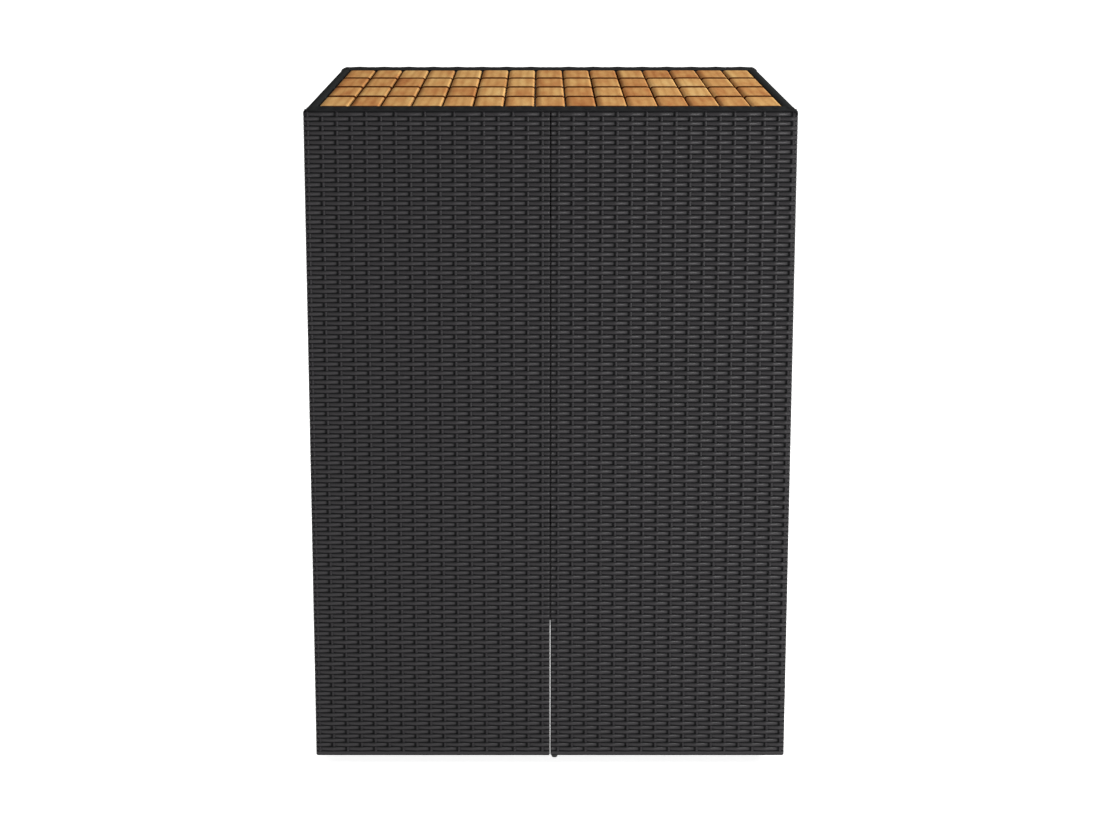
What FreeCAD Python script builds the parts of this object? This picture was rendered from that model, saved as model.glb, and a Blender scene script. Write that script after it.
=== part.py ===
import FreeCAD, Part
import math
import os

# Wicker bar table: two woven end walls of two half panels each, two woven aprons and a slatted wooden top.
# Millimetres, +Z up. The origin is on the floor under the table's centre, and the front wall is at -Y.

# Overall sizes
table_width = 800.0
table_depth = 800.0
table_height = 1106.0
wall_thickness = 62.0
foot_clearance = 6.0
seam_gap = 1.5

# Woven skins: the plain outer form of the wicker, thinner between the posts and where two half panels meet
weave = 4.8
bay_weave = 2.4
seam_weave = 0.8
weave_corner = 4.0
seam_corner = 2.0
weave_brim = 1.2

# Square steel tube of the welded frames
tube = 12.0
tube_wall = 1.2
tube_setback = 2.0
rail_bays = 4

# Woven aprons under the two open sides, on a lighter tube
apron_height = 80.0
apron_inset = 2.5
apron_tube = 10.0
apron_skin = 3.4
apron_corner = 3.8

# Wooden top: short slats in rows, each row screwed to two battens
top_recess = 1.0
slat_columns = 15
slat_rows = 4
slat_thickness = 15.0
slat_edge = 4.0
slat_gap = 2.0
row_gap = 6.0
field_side_gap = 1.0
field_end_gap = 1.5
batten_width = 30.0
batten_thickness = 12.0
batten_ledge_gap = 4.5
batten_end_gap = 20.0

# Steel bearers under the joints between rows, with end plates that hang below the tube
bearer_width = 20.0
bearer_height = 25.0
bearer_wall = 1.5
end_plate = 3.0
end_plate_drop = 20.0

# Angle ledges, corner brackets and seam plates
ledge_down = 30.0
ledge_in = 25.0
ledge_sheet = 2.5
ledge_end_gap = 8.0
ledge_bolt_inner = 60.0
ledge_bolt_end = 30.0
bracket_leg = 40.0
bracket_height = 40.0
bracket_sheet = 2.5
bracket_bolt = 20.0
bracket_top_gap = 3.0
seam_plate_width = 34.0
seam_plate_height = 40.0
seam_plate_sheet = 3.0
seam_plate_levels = (1.5, 3.5)

# Bolts that cut their thread in the tube walls: plain six-sided shanks, with few faces
bolt_flats = 4.6
bolt_head_flats = 8.0
bolt_head_height = 3.5
bolt_tip = 6.0
hole_clearance = 0.4

# Levelling feet: a capped stud that screws into a plug in the frame
pad_flats = 9.0
pad_floor = 2.5
stud_diameter = 5.0
stud_reach = 30.0
stud_seat_clearance = 0.2
stud_thread_clearance = 0.08
plug_depth = 14.0
plug_clearance = 0.1
socket_height = 40.0

# Places worked out from the sizes above
half_depth = table_depth / 2
apron_thickness = apron_tube + 2 * apron_skin
apron_outer = table_width / 2 - apron_inset
inner_x = apron_outer - apron_thickness
inner_y = half_depth - wall_thickness
top_z = table_height - top_recess
slat_bottom = top_z - slat_thickness
apron_bottom = top_z - apron_height
carrier_z = slat_bottom - ledge_down / 2
slat_pitch = (2 * (inner_x - field_side_gap) + slat_gap) / slat_columns
slat_width = slat_pitch - slat_gap
row_pitch = (2 * (inner_y - field_end_gap) + row_gap) / slat_rows
slat_length = row_pitch - row_gap
batten_spacing = slat_length - 2 * (ledge_in - field_end_gap + batten_ledge_gap) - batten_width
bearer_bolt_z = slat_bottom - bearer_height - end_plate_drop / 2
frame_bottom = foot_clearance + tube_setback
seam_post = seam_gap / 2 + seam_weave
outer_post = table_width / 2 - weave - tube
seam_post_x = seam_post + tube / 2
outer_post_x = outer_post + tube / 2
front_post = -half_depth + weave
rear_post = -inner_y - weave - tube
front_post_y = front_post + tube / 2
rear_post_y = rear_post + tube / 2
middle_y = -half_depth + wall_thickness / 2


def vector(x, y, z):
    """A point or direction."""
    return FreeCAD.Vector(x, y, z)


def block(x_span, y_span, z_span):
    """A box between pairs of limits, given in either order."""
    low = [min(span) for span in (x_span, y_span, z_span)]
    high = [max(span) for span in (x_span, y_span, z_span)]
    return Part.makeBox(high[0] - low[0], high[1] - low[1], high[2] - low[2], vector(*low))


def turned(shape):
    """A copy turned half round the table's centre line, from the front wall to the rear wall."""
    copy = shape.copy()
    copy.rotate(vector(0, 0, 0), vector(0, 0, 1), 180)
    return copy


def around(centre, size):
    """The limits of a span of the given size about its centre."""
    return (centre - size / 2, centre + size / 2)


def joined(shapes):
    """Overlapping solids fused into one."""
    return shapes[0].multiFuse(shapes[1:])


def row_joints():
    """Y places of the joints between rows of slats, where the bearers run."""
    return [(index - slat_rows / 2) * row_pitch for index in range(1, slat_rows)]


def row_centres():
    """Y places of the middles of the rows."""
    return [(index - (slat_rows - 1) / 2) * row_pitch for index in range(slat_rows)]


def rail_heights():
    """Middle heights of the frame rails: even bays up to the carrier rail, then the top rail."""
    lowest = frame_bottom + tube / 2
    bay = (carrier_z - lowest) / rail_bays
    return [lowest + bay * level for level in range(rail_bays + 1)] + [table_height - weave - tube / 2]


def bay_height(level):
    """Height at a level of the frame, counted in bays from the lowest rail."""
    lowest = rail_heights()[0]
    return lowest + (carrier_z - lowest) / rail_bays * level


# Fasteners


def hex_prism(start, along, flats, length):
    """A six-sided prism of a given width across flats, from a point along a direction."""
    sides = 6
    spoke = vector(1, 0, 0) if abs(along.z) > abs(along.x) + abs(along.y) else vector(0, 0, 1)
    spoke = spoke * (flats / math.sqrt(3))
    turns = [FreeCAD.Rotation(along, 360.0 / sides * corner) for corner in range(sides)]
    corners = [start + turn.multVec(spoke) for turn in turns]
    return Part.Face(Part.makePolygon(corners + corners[:1])).extrude(along * length)


def bolt(seat, along, grip):
    """A hex bolt whose head sits at a seat point and whose shank runs along a direction."""
    head = hex_prism(seat, along, bolt_head_flats, -bolt_head_height)
    return head.fuse(hex_prism(seat, along, bolt_flats, grip + bolt_tip))


def bolt_hole(seat, along, grip):
    """The clearance hole from a bolt's seat through all that it clamps."""
    return hex_prism(seat, along, bolt_flats + hole_clearance, grip)


def grip_through(sheet, skin):
    """Thickness clamped by a bolt: a steel sheet, the woven skin and one tube wall."""
    return sheet + skin + tube_wall


def wall_seat(x, z, sheet):
    """A bolt's seat, direction and grip on the inner face of the front wall."""
    return vector(x, -inner_y + sheet, z), vector(0, -1, 0), grip_through(sheet, weave)


def apron_seat(side, y, z, sheet):
    """A bolt's seat, direction and grip on the inner face of an apron."""
    return vector(side * (inner_x - sheet), y, z), vector(side, 0, 0), grip_through(sheet, apron_skin)


def ledge_half():
    """Half the length of a ledge, which stops short of the corner brackets."""
    return inner_x - bracket_leg - ledge_end_gap


def ledge_seats(side):
    """Bolts of the front ledge in one half panel."""
    places = (ledge_bolt_inner, ledge_half() - ledge_bolt_end)
    return [wall_seat(side * x, carrier_z, ledge_sheet) for x in places]


def seam_seats(side):
    """Bolts of the front seam plates in one half panel."""
    return [wall_seat(side * seam_post_x, bay_height(level), seam_plate_sheet) for level in seam_plate_levels]


def bracket_wall_seats(side):
    """Bolt of a corner bracket in one half panel."""
    return [wall_seat(side * (inner_x - bracket_bolt), carrier_z, bracket_sheet)]


def bracket_apron_seats(side, ends):
    """Bolts of the corner brackets in an apron, at the named ends."""
    places = [end * (inner_y - bracket_bolt) for end in ends]
    return [apron_seat(side, y, carrier_z, bracket_sheet) for y in places]


def bearer_seats(side):
    """Bolts of the bearers' end plates in an apron."""
    return [apron_seat(side, y, bearer_bolt_z, end_plate) for y in row_joints()]


def half_seats(side):
    """Every bolt that enters one half panel of the front wall."""
    return ledge_seats(side) + seam_seats(side) + bracket_wall_seats(side)


def apron_seats(side):
    """Every bolt that enters an apron."""
    return bracket_apron_seats(side, (-1, 1)) + bearer_seats(side)


def drilled(shape, seats):
    """A piece with the clearance holes of its bolts."""
    return shape.cut(Part.makeCompound([bolt_hole(*seat) for seat in seats]))


# Welded frames of square tube


def tube_along_z(x, y, z_span, open_top):
    """An upright tube about (x, y), open below: its outer block and its bore."""
    low, high = z_span
    bore_top = high if open_top else high - tube_wall
    bore = tube - 2 * tube_wall
    outer = block(around(x, tube), around(y, tube), z_span)
    return outer, block(around(x, bore), around(y, bore), (low, bore_top))


def tube_along_x(x_span, y, z):
    """A rail between two posts, with its bore let through the posts' walls."""
    low, high = sorted(x_span)
    bore = tube - 2 * tube_wall
    outer = block((low, high), around(y, tube), around(z, tube))
    return outer, block((low - tube_wall, high + tube_wall), around(y, bore), around(z, bore))


def tube_along_y(x, y_span, z):
    """A spreader between two posts, with its bore let through the posts' walls."""
    low, high = y_span
    bore = tube - 2 * tube_wall
    outer = block(around(x, tube), (low, high), around(z, tube))
    return outer, block(around(x, bore), (low - tube_wall, high + tube_wall), around(z, bore))


def welded(members):
    """One welded frame from its tubes, with their bores joined inside."""
    outer = joined([member[0] for member in members])
    bores = joined([member[1] for member in members])
    return outer.cut(bores).removeSplitter()


def half_frame(side):
    """The box frame of a front half panel: four posts, rails, spreaders and the outer foot's socket."""
    posts = [(x, y) for x in (seam_post_x, outer_post_x) for y in (front_post_y, rear_post_y)]
    post_span = (frame_bottom, table_height - weave)
    members = [tube_along_z(side * x, y, post_span, False) for x, y in posts]
    rail_span = (side * (seam_post + tube), side * outer_post)
    spreader_span = (front_post + tube, rear_post)
    for z in rail_heights():
        members += [tube_along_x(rail_span, y, z) for y in (front_post_y, rear_post_y)]
        members += [tube_along_y(side * x, spreader_span, z) for x in (seam_post_x, outer_post_x)]
    socket_span = (frame_bottom, frame_bottom + socket_height)
    members.append(tube_along_z(side * outer_post_x, middle_y, socket_span, True))
    return drilled(welded(members), half_seats(side))


def apron_frame(side):
    """The ladder frame of an apron: two rails, with an upright behind each bolt."""
    x = side * (apron_outer - apron_skin - apron_tube / 2)
    low = apron_bottom + apron_skin + apron_tube / 2
    high = top_z - apron_skin - apron_tube / 2
    bore = apron_tube - 2 * tube_wall
    ends = [end * (inner_y - bracket_bolt) for end in (-1, 1)]
    members = []
    for z in (low, high):
        outer = block(around(x, apron_tube), (-inner_y, inner_y), around(z, apron_tube))
        members.append((outer, block(around(x, bore), (-inner_y, inner_y), around(z, bore))))
    for y in ends + row_joints():
        inside = (low + apron_tube / 2, high - apron_tube / 2)
        outer = block(around(x, apron_tube), around(y, apron_tube), inside)
        reach = (inside[0] - tube_wall, inside[1] + tube_wall)
        members.append((outer, block(around(x, bore), around(y, bore), reach)))
    return drilled(welded(members), apron_seats(side))


# Woven skins


def rounded(shape, radius, chosen):
    """A solid with the straight edges that a test picks rounded."""
    edges = [edge for edge in shape.Edges if chosen(edge.CenterOfMass, edge.tangentAt(edge.FirstParameter))]
    return shape.makeFillet(radius, edges)


def half_weave(side):
    """The hollow woven sleeve of a front half panel, with a way out below for each foot's plug."""
    seam_face = side * seam_gap / 2
    outer_face = side * table_width / 2
    y_span = (-half_depth, -inner_y)
    body = block((seam_face, outer_face), y_span, (foot_clearance, table_height))

    def on_seam_edge(centre, tangent):
        return abs(tangent.z) > 0.9 and abs(centre.x - seam_face) < seam_gap / 4

    def on_outer_edge(centre, tangent):
        return abs(tangent.z) > 0.9 and abs(centre.x - outer_face) < seam_gap / 4

    body = rounded(body, seam_corner, on_seam_edge)
    body = rounded(body, weave_corner, on_outer_edge)
    brim = [edge for edge in body.Edges if edge.BoundBox.ZMin > table_height - weave / 2]
    body = body.makeChamfer(weave_brim, brim)
    hollow = block(
        (side * seam_post, side * (table_width / 2 - weave)),
        (-half_depth + weave, -inner_y - weave),
        (frame_bottom, table_height - weave),
    )
    heights = rail_heights()
    bays = block(
        (side * (seam_post + tube), side * outer_post),
        (-half_depth + bay_weave, -inner_y - bay_weave),
        (heights[0] + tube / 2, heights[rail_bays] - tube / 2),
    )
    under = (foot_clearance, frame_bottom)
    feet = [(x, y) for x, y in front_foot_places() if x * side > 0]
    ways = [block(around(x, tube), around(y, tube), under) for x, y in feet]
    return drilled(body.cut(Part.makeCompound([hollow.fuse(bays)] + ways)), half_seats(side))


def apron_weave(side):
    """The woven sleeve of an apron, open at the ends that butt against the walls."""
    y_span = (-inner_y, inner_y)
    body = block((side * inner_x, side * apron_outer), y_span, (apron_bottom, top_z))
    body = rounded(body, apron_corner, lambda centre, tangent: abs(tangent.y) > 0.9)
    hollow = block(
        (side * (inner_x + apron_skin), side * (apron_outer - apron_skin)),
        y_span,
        (apron_bottom + apron_skin, top_z - apron_skin),
    )
    return drilled(body.cut(hollow), apron_seats(side))


# Wooden top


def one_slat():
    """A slat with its top edges eased all round, centred in X and Y."""
    slat = block(around(0.0, slat_width), around(0.0, slat_length), (slat_bottom, top_z))
    rim = [edge for edge in slat.Edges if edge.BoundBox.ZMin > top_z - slat_edge]
    return slat.makeChamfer(slat_edge, rim)


def row_of_slats(y):
    """The slats of one row as separate solids."""
    slat = one_slat()
    places = [(column - (slat_columns - 1) / 2) * slat_pitch for column in range(slat_columns)]
    return Part.makeCompound([slat.translated(vector(x, y, 0)) for x in places])


def row_battens(y):
    """The two battens under one row."""
    half = inner_x - batten_end_gap
    z_span = (slat_bottom - batten_thickness, slat_bottom)
    places = around(y, batten_spacing)
    return Part.makeCompound([block((-half, half), around(place, batten_width), z_span) for place in places])


# Steel that carries the top


def bearer(y):
    """A cross tube with an end plate welded round each end and bolted to the apron."""
    tube_span = (slat_bottom - bearer_height, slat_bottom)
    plate_span = (slat_bottom - bearer_height - end_plate_drop, slat_bottom)
    y_span = around(y, bearer_width)
    body = block((-inner_x, inner_x), y_span, tube_span)
    plates = [block((side * (inner_x - end_plate), side * inner_x), y_span, plate_span) for side in (-1, 1)]
    bore_y = around(y, bearer_width - 2 * bearer_wall)
    bore_z = (tube_span[0] + bearer_wall, tube_span[1] - bearer_wall)
    hollow = block((-inner_x, inner_x), bore_y, bore_z)
    seats = [apron_seat(side, y, bearer_bolt_z, end_plate) for side in (-1, 1)]
    return drilled(joined([body] + plates).cut(hollow).removeSplitter(), seats)


def front_ledge():
    """The angle under the slats' ends, which also ties the two half panels together."""
    x_span = (-ledge_half(), ledge_half())
    upright = block(x_span, (-inner_y, -inner_y + ledge_sheet), (slat_bottom - ledge_down, slat_bottom))
    shelf = block(x_span, (-inner_y, -inner_y + ledge_in), (slat_bottom - ledge_sheet, slat_bottom))
    return drilled(upright.fuse(shelf).removeSplitter(), ledge_seats(-1) + ledge_seats(1))


def front_bracket(side):
    """The corner bracket between the front wall and an apron."""
    high = slat_bottom - bracket_top_gap
    z_span = (high - bracket_height, high)
    corner_x = side * inner_x
    on_wall = block(
        (corner_x, side * (inner_x - bracket_leg)), (-inner_y, -inner_y + bracket_sheet), z_span
    )
    on_apron = block(
        (corner_x, side * (inner_x - bracket_sheet)), (-inner_y, -inner_y + bracket_leg), z_span
    )
    seats = bracket_wall_seats(side) + bracket_apron_seats(side, (-1,))
    return drilled(on_wall.fuse(on_apron).removeSplitter(), seats)


def front_seam_plate(level):
    """A flat plate across the seam on the wall's inner face."""
    plate = block(
        around(0.0, seam_plate_width),
        (-inner_y, -inner_y + seam_plate_sheet),
        around(bay_height(level), seam_plate_height),
    )
    return drilled(plate, seam_seats(-1) + seam_seats(1))


# Levelling feet


def front_foot_places():
    """X and Y of the front wall's feet: at the right seam post in front and the left one behind,
    and in the sockets at the outer ends."""
    return [
        (seam_post_x, front_post_y),
        (outer_post_x, middle_y),
        (-seam_post_x, rear_post_y),
        (-outer_post_x, middle_y),
    ]


def foot_places():
    """X and Y of every foot."""
    front = front_foot_places()
    return front + [(-x, -y) for x, y in front]


def foot_pad(x, y):
    """The six-sided plastic cap that stands on the floor, with a pocket for the stud's end."""
    up = vector(0, 0, 1)
    cap = hex_prism(vector(x, y, 0), up, pad_flats, foot_clearance)
    pocket_flats = stud_diameter + stud_seat_clearance
    return cap.cut(hex_prism(vector(x, y, pad_floor), up, pocket_flats, foot_clearance))


def foot_stud(x, y):
    """The threaded stud, from the floor of the cap's pocket up into the frame."""
    length = foot_clearance - pad_floor + stud_reach
    return Part.makeCylinder(stud_diameter / 2, length, vector(x, y, pad_floor))


def foot_plug(x, y):
    """The flanged plug in a tube's lower end, threaded for the stud."""
    bore = tube - 2 * tube_wall - 2 * plug_clearance
    flange = block(around(x, tube), around(y, tube), (foot_clearance, frame_bottom))
    body = block(around(x, bore), around(y, bore), (foot_clearance, frame_bottom + plug_depth))
    radius = stud_diameter / 2 + stud_thread_clearance
    depth = tube_setback + plug_depth
    return flange.fuse(body).cut(Part.makeCylinder(radius, depth, vector(x, y, foot_clearance)))


# The whole table


def both_walls(pieces):
    """Pieces of the front wall with the same pieces turned to the rear wall, as one group."""
    return Part.makeCompound(pieces + [turned(piece) for piece in pieces])


def wall_nodes():
    """Frames and woven sleeves of the four half panels."""
    nodes = {}
    for side, front_name, rear_name in ((-1, "left", "right"), (1, "right", "left")):
        frame = half_frame(side)
        sleeve = half_weave(side)
        nodes["front_%s_frame" % front_name] = frame
        nodes["rear_%s_frame" % rear_name] = turned(frame)
        nodes["front_%s_weave" % front_name] = sleeve
        nodes["rear_%s_weave" % rear_name] = turned(sleeve)
    return nodes


def top_nodes():
    """Aprons, bearers, ledges and the rows of the wooden top."""
    nodes = {}
    for side, name in ((-1, "left"), (1, "right")):
        nodes["%s_apron_frame" % name] = apron_frame(side)
        nodes["%s_apron_weave" % name] = apron_weave(side)
    for number, y in enumerate(row_joints(), 1):
        nodes["bearer_%d" % number] = bearer(y)
    nodes["front_ledge"] = front_ledge()
    nodes["rear_ledge"] = turned(nodes["front_ledge"])
    for number, y in enumerate(row_centres(), 1):
        nodes["row_%d_slats" % number] = row_of_slats(y)
        nodes["row_%d_battens" % number] = row_battens(y)
    return nodes


def fastener_nodes():
    """Brackets, seam plates and bolts, grouped by what they join."""
    sides = (-1, 1)
    ledge = [seat for side in sides for seat in ledge_seats(side)]
    seam = [seat for side in sides for seat in seam_seats(side)]
    corner_wall = [seat for side in sides for seat in bracket_wall_seats(side)]
    corner_apron = [seat for side in sides for seat in bracket_apron_seats(side, (-1,))]
    cross = [seat for side in sides for seat in bearer_seats(side)]
    return {
        "corner_brackets": both_walls([front_bracket(side) for side in sides]),
        "seam_plates": both_walls([front_seam_plate(level) for level in seam_plate_levels]),
        "ledge_bolts": both_walls([bolt(*seat) for seat in ledge]),
        "seam_bolts": both_walls([bolt(*seat) for seat in seam]),
        "bracket_bolts": both_walls([bolt(*seat) for seat in corner_wall + corner_apron]),
        "bearer_bolts": Part.makeCompound([bolt(*seat) for seat in cross]),
    }


def foot_nodes():
    """The feet, each a cap on a stud, and the plugs that hold them."""
    nodes = {"foot_plugs": Part.makeCompound([foot_plug(x, y) for x, y in foot_places()])}
    for number, (x, y) in enumerate(foot_places(), 1):
        nodes["foot_%d_pad" % number] = foot_pad(x, y)
        nodes["foot_%d_stud" % number] = foot_stud(x, y)
    return nodes


def main():
    """Build every piece and write one file for each."""
    os.makedirs("parts", exist_ok=True)
    nodes = {**wall_nodes(), **top_nodes(), **fastener_nodes(), **foot_nodes()}
    for name, shape in nodes.items():
        shape.exportStep("parts/%s.step" % name)
        cubic_cm = shape.Volume / 1000
        print("%s: %d solids, %.1f cm3, valid %s" % (name, len(shape.Solids), cubic_cm, shape.isValid()))
    print("%d nodes" % len(nodes))


main()
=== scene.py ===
"""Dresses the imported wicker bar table: woven sleeves, acacia slats, screws, feet and a plain studio."""

import logging
import math
from dataclasses import dataclass, field
from enum import Enum
from functools import reduce
from itertools import accumulate, pairwise
from typing import Callable, Iterator, Mapping, Sequence, Union

import bmesh
import bpy
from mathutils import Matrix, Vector


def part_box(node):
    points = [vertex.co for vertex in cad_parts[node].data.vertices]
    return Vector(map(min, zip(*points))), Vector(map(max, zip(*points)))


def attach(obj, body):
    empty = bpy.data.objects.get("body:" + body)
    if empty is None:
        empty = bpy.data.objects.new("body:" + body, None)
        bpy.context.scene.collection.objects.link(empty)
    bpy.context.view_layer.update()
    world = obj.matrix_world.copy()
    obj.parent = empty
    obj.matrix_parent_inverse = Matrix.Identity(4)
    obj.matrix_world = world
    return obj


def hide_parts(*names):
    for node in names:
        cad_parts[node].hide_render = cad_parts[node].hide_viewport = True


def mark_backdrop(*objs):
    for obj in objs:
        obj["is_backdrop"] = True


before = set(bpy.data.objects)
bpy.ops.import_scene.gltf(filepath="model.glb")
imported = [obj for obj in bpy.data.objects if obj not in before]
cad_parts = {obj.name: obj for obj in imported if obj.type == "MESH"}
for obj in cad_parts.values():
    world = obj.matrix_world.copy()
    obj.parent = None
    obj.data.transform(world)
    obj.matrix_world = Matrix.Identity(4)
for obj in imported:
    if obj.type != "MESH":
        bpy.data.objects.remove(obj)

MM = 0.001
TABLE_BODY = "table"
FOOT_COUNT = 8
ROW_COUNT = 4
SLAT_COUNT = 15
GRAIN_STRETCH = 14.0
# Stakes do not swing, so this wave only sets how much painted shade they take.
STAKE_WAVE = -0.7
FLAT_SIDES = 5
ROUND_SIDES = 8
FULL = (0.0, 1.0)
NOISE_SPAN = (0.3, 0.7)
WHITE = (1.0, 1.0, 1.0, 1.0)
SHAPE_TREE = "GeometryNodeTree"
SHADER_TREE = "ShaderNodeTree"

Span = tuple[float, float]
Triple = tuple[float, float, float]
Colour = tuple[float, float, float, float]
Form = bmesh.types.BMesh
Material = bpy.types.Material
Mesh = bpy.types.Mesh
Node = bpy.types.Node
Piece = bpy.types.Object
Socket = bpy.types.NodeSocket
Tree = bpy.types.NodeTree
Value = Union[float, int, str, Sequence[float], Socket, bpy.types.ID]
Inputs = Mapping[Union[str, int], Value]

log = logging.getLogger("wicker_bar_table")


class Slot(Enum):
    """The record's material slot names, which nothing in this script uses."""

    WICKER = "wicker"
    SLAT = "slat_wood"
    ZINC = "zinc_steel"
    PLASTIC = "foot_plastic"


class Strip(Enum):
    """Names of the attributes that a strand's mesh carries for its finish."""

    RUN = "strand_run"
    ALONG = "strand_along"
    ACROSS = "strand_across"
    WAVE = "strand_wave"
    OUTWARD = "strand_outward"
    LEVEL = "strand_level"
    RIM = "strand_rim"


class Plank(Enum):
    """Names of the attributes that a slat's mesh carries for its finish."""

    TONE = "slat_tone"
    PLACE = "slat_place"
    # Painted shade at a slat's ends, low in its side joints and along its left edge; the ends are partly end
    # grain too.
    EDGE_SHADE = "slat_worn"


def paint(*levels: int) -> Colour:
    """Turns a colour as seen on screen into Blender's linear colour.

    Args:
        *levels: Red, green and blue, 0 to 255.

    Returns:
        The linear colour with full alpha.
    """
    knee, slope, lift, power, full = 0.04045, 12.92, 0.055, 2.4, 255
    shares = [level / full for level in levels]
    linear = [share / slope if share <= knee else ((share + lift) / (1 + lift)) ** power for share in shares]
    return *linear, 1.0


# Node trees


class Graph:
    """A node tree written as nested calls, for shapes and finishes alike."""

    def __init__(self, tree: Tree) -> None:
        """Keeps the tree to write in."""
        self.tree = tree

    def link(self, value: Socket, target: Socket) -> None:
        """Joins a result to an input."""
        self.tree.links.new(value, target)

    def node(self, kind: str, inputs: Inputs, **settings: object) -> Node:
        """Adds one node.

        Args:
            kind: The node's type name.
            inputs: Values or sockets for its inputs, by name or place.
            **settings: The node's own settings, set before its inputs.

        Returns:
            The new node.
        """
        made = self.tree.nodes.new(kind)
        for name, value in settings.items():
            setattr(made, name, value)
        for key, value in inputs.items():
            if isinstance(value, Socket):
                self.link(value, made.inputs[key])
            else:
                made.inputs[key].default_value = value
        return made

    def shape(self, kind: str, inputs: Inputs, **settings: object) -> Socket:
        """A geometry node's first result."""
        return self.node("GeometryNode" + kind, inputs, **settings).outputs[0]

    def shape_of(self, item: Socket) -> Socket:
        """The shape of an object that a tree is given."""
        return self.node("GeometryNodeObjectInfo", {"Object": item}).outputs["Geometry"]

    def math(self, operation: str, first: Value, second: Value = 0.0) -> Socket:
        """A Math node's result."""
        return self.node("ShaderNodeMath", {0: first, 1: second}, operation=operation).outputs[0]

    def times(self, *values: Value) -> Socket:
        """Numbers multiplied in order."""
        return reduce(lambda first, second: self.math("MULTIPLY", first, second), values)

    def plus(self, first: Value, second: Value) -> Socket:
        """The sum of two numbers."""
        return self.math("ADD", first, second)

    def minus(self, first: Value, second: Value) -> Socket:
        """A number less another."""
        return self.math("SUBTRACT", first, second)

    def most(self, first: Value, second: Value) -> Socket:
        """The greater of two numbers."""
        return self.math("MAXIMUM", first, second)

    def above(self, first: Value, second: Value) -> Socket:
        """Whether a number is greater than another, as a choice of elements."""
        return self.node("FunctionNodeCompare", {0: first, 1: second}, operation="GREATER_THAN").outputs[0]

    def vector(self, operation: str, first: Value, second: Value = (0.0, 0.0, 0.0)) -> Socket:
        """A Vector Math node's vector result."""
        return self.node("ShaderNodeVectorMath", {0: first, 1: second}, operation=operation).outputs[0]

    def scaled(self, vector: Value, factor: Value) -> Socket:
        """A vector times a number."""
        return self.node("ShaderNodeVectorMath", {0: vector, "Scale": factor}, operation="SCALE").outputs[0]

    def combine(self, x: Value, y: Value, z: Value) -> Socket:
        """A vector from three numbers."""
        return self.node("ShaderNodeCombineXYZ", {0: x, 1: y, 2: z}).outputs[0]

    def noise(self, vector: Value, scale: Value, detail: float = 2.0) -> Socket:
        """A Noise texture's value, around one half."""
        inputs = {"Vector": vector, "Scale": scale, "Detail": detail}
        return self.node("ShaderNodeTexNoise", inputs).outputs[0]

    def spread(self, value: Value, span: Sequence[Value], to: Sequence[Value] = FULL) -> Socket:
        """A value carried from one range to another and held inside it."""
        return self.node("ShaderNodeMapRange", dict(enumerate((value, *span, *to)))).outputs[0]

    def mix(self, factor: Value, first: Value, second: Value) -> Socket:
        """Two colours mixed by a factor."""
        return self.node("ShaderNodeMix", {0: factor, 6: first, 7: second}, data_type="RGBA").outputs[2]

    def ramp(self, factor: Value, colours: Sequence[Colour]) -> Socket:
        """A colour picked from an even row of stops.

        Args:
            factor: Where to pick, from 0 to 1.
            colours: The stops, from first to last.

        Returns:
            The picked colour.
        """
        made = self.node("ShaderNodeValToRGB", {0: factor})
        elements = made.color_ramp.elements
        while len(elements) < len(colours):
            elements.new(0.5)
        for index, (element, colour) in enumerate(zip(elements, colours)):
            element.position = index / (len(colours) - 1)
            element.color = colour
        return made.outputs[0]

    def group(self, tree: Tree, inputs: Mapping[str, Value]) -> bpy.types.NodeOutputs:
        """The results of a finished group of the same kind of tree."""
        kind = "GeometryNodeGroup" if tree.bl_idname == SHAPE_TREE else "ShaderNodeGroup"
        return self.node(kind, inputs, node_tree=tree).outputs

    def attribute(self, name: Enum, kind: str = "FLOAT") -> Socket:
        """A shape's named attribute inside a geometry tree."""
        return self.shape("InputNamedAttribute", {"Name": name.value}, data_type=kind)

    def painted(self, name: Enum) -> Socket:
        """A mesh attribute's number inside a material or shader group."""
        return self.node("ShaderNodeAttribute", {}, attribute_name=name.value).outputs["Fac"]

    def store(self, geometry: Socket, domain: str, name: Enum, value: Value) -> Socket:
        """Geometry with a named number kept on it."""
        inputs = {"Geometry": geometry, "Name": name.value, "Value": value}
        return self.shape("StoreNamedAttribute", inputs, domain=domain, data_type="FLOAT")


def sockets(**kinds: Sequence[str]) -> dict[str, str]:
    """Socket kinds by socket name, from names listed by kind."""
    return {name: kind for kind, names in kinds.items() for name in names}


PARTS = ("Row", "Stake", "Cap", "Post")
PART_SOCKETS = sockets(
    Object=["guide"],
    Int=["count", "sides"],
    Vector=["step"],
    Float=["swing", "alternate", "width", "thickness"],
)
SHAPE_RESULT = sockets(Geometry=["Geometry"])


def new_group(
    name: str, inputs: Mapping[str, str], kind: str = SHAPE_TREE, outputs: Mapping[str, str] = SHAPE_RESULT
) -> tuple[Graph, Mapping[str, Socket], Node]:
    """Starts a node group with named sockets.

    Args:
        name: The group's name.
        inputs: Socket kinds by input name, such as Float or Vector.
        kind: The kind of tree, for a shape or for a shader.
        outputs: Socket kinds by output name.

    Returns:
        The graph to write in, its inputs by name, and its output node.
    """
    tree = bpy.data.node_groups.new(name, kind)
    for way, named in (("INPUT", inputs), ("OUTPUT", outputs)):
        for label, socket in named.items():
            tree.interface.new_socket(label, in_out=way, socket_type="NodeSocket" + socket)
    graph = Graph(tree)
    entry = graph.node("NodeGroupInput", {})
    leave = graph.node("NodeGroupOutput", {})
    return graph, {label: entry.outputs[label] for label in inputs}, leave


# Shape trees


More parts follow.
